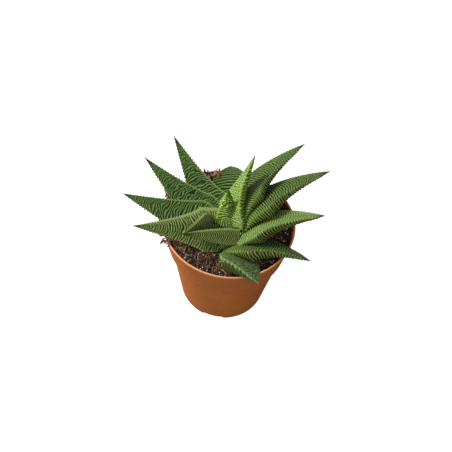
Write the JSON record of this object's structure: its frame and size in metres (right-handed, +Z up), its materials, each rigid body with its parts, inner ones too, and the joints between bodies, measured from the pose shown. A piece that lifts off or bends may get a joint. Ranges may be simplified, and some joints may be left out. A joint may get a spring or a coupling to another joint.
{
  "type": "potted haworthia",
  "caption": "Small ridged-leaf haworthia rosette rooted in compost, in a round terracotta-coloured plastic nursery pot with drainage notches.",
  "frame": {"origin": "centre of the pot's flat underside, which stands on z = 0", "axes": "+Z up along the pot's axis, -Y towards the front, +X to the right"},
  "size_m": [0.1309, 0.1024, 0.1082],
  "materials": {
    "pot_plastic": "matte, faintly ringed terracotta colour",
    "potting_mix": "rough, fibrous",
    "bark": "rough, split",
    "leaf": "satin, cross-ridged",
    "young_leaf": "satin, with pale tubercles",
    "pale_tissue": "satin"
  },
  "bodies": {
    "root": {"bark_chip_1": "bark", "bark_chip_2": "bark", "bark_chip_3": "bark", "bark_chip_4": "bark", "leaf_01_centre": "young_leaf", "leaf_02_bud": "young_leaf", "leaf_03_front_inner": "leaf", "leaf_04_left_inner": "leaf", "leaf_05_tall": "young_leaf", "leaf_06_back_right": "leaf", "leaf_07_front_left": "leaf", "leaf_08_right_upper": "leaf", "leaf_09_left": "leaf", "leaf_10_right": "leaf", "leaf_11_left_back": "leaf", "leaf_12_right_lower": "leaf", "leaf_13_back_left": "leaf", "leaf_14_back_drooping": "leaf", "leaf_15_front_drooping": "leaf", "leaf_16_back_under": "leaf", "leaf_17_right_under": "leaf", "pot": "pot_plastic", "potting_mix": "potting_mix", "root_1": "pale_tissue", "root_2": "pale_tissue", "root_3": "pale_tissue", "root_4": "pale_tissue", "root_5": "pale_tissue", "stem": "pale_tissue"}
  },
  "joints": []
}
